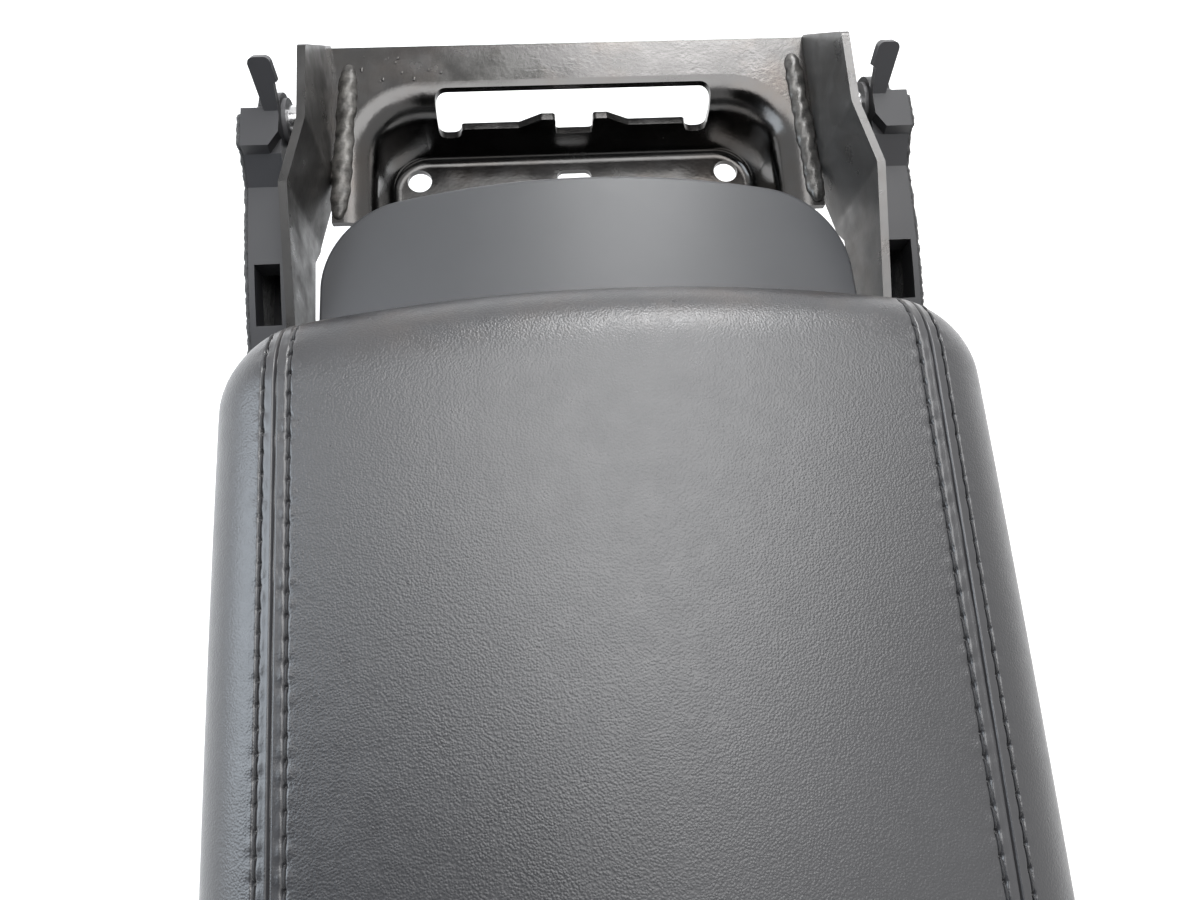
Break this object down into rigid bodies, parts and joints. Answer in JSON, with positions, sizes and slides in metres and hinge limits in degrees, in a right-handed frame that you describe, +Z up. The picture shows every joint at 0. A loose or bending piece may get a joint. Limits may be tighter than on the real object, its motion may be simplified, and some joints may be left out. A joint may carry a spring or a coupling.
{
  "type": "car centre armrest",
  "caption": "Padded leather car centre armrest that swings up on a welded steel hinge bracket with side arms, plastic ears and a curved hinge cover.",
  "frame": {"origin": "midway between the two bolt holes, on the underside of the bracket's pan", "axes": "+X to the right, +Y to the rear towards the bracket's flange, +Z up through the pad"},
  "size_m": [0.1644, 0.36, 0.08],
  "materials": {
    "coated_steel": "gloss black coating",
    "weld_metal": "rough weld bead",
    "pin_steel": "bright plated",
    "clip_steel": "spring steel",
    "buffer_rubber": "matte",
    "leather": "satin grained",
    "foam": "moulded foam",
    "board_plastic": "moulded",
    "shell_plastic": "fine grained",
    "cover_plastic": "satin smooth",
    "ear_plastic": "satin",
    "felt": "needled felt",
    "bush_plastic": "plain",
    "screw_steel": "zinc plated"
  },
  "bodies": {
    "bracket": {"bracket_plate": "coated_steel", "arm_left": "coated_steel", "arm_right": "coated_steel", "weld_left": "weld_metal", "weld_right": "weld_metal", "pivot_pin_left": "pin_steel", "pivot_pin_right": "pin_steel", "retaining_clip_left": "clip_steel", "retaining_clip_right": "clip_steel", "buffer_left": "buffer_rubber", "buffer_right": "buffer_rubber"},
    "armrest": {"leather_cover": "leather", "foam_pad": "foam", "carrier_board": "board_plastic", "lower_shell": "shell_plastic", "hinge_cover": "cover_plastic", "ear_left": "ear_plastic", "ear_right": "ear_plastic", "felt_left": "felt", "felt_right": "felt", "pivot_bush_left": "bush_plastic", "pivot_bush_right": "bush_plastic", "ear_screws": "screw_steel", "shell_screws": "screw_steel", "hinge_cover_screws": "screw_steel"}
  },
  "joints": [
    {"name": "armrest_pivot", "type": "hinge", "parent": "bracket", "child": "armrest", "pos_m": [0, -0.006, 0.042], "axis": [-1, 0, 0], "range_deg": [0, 95]}
  ]
}
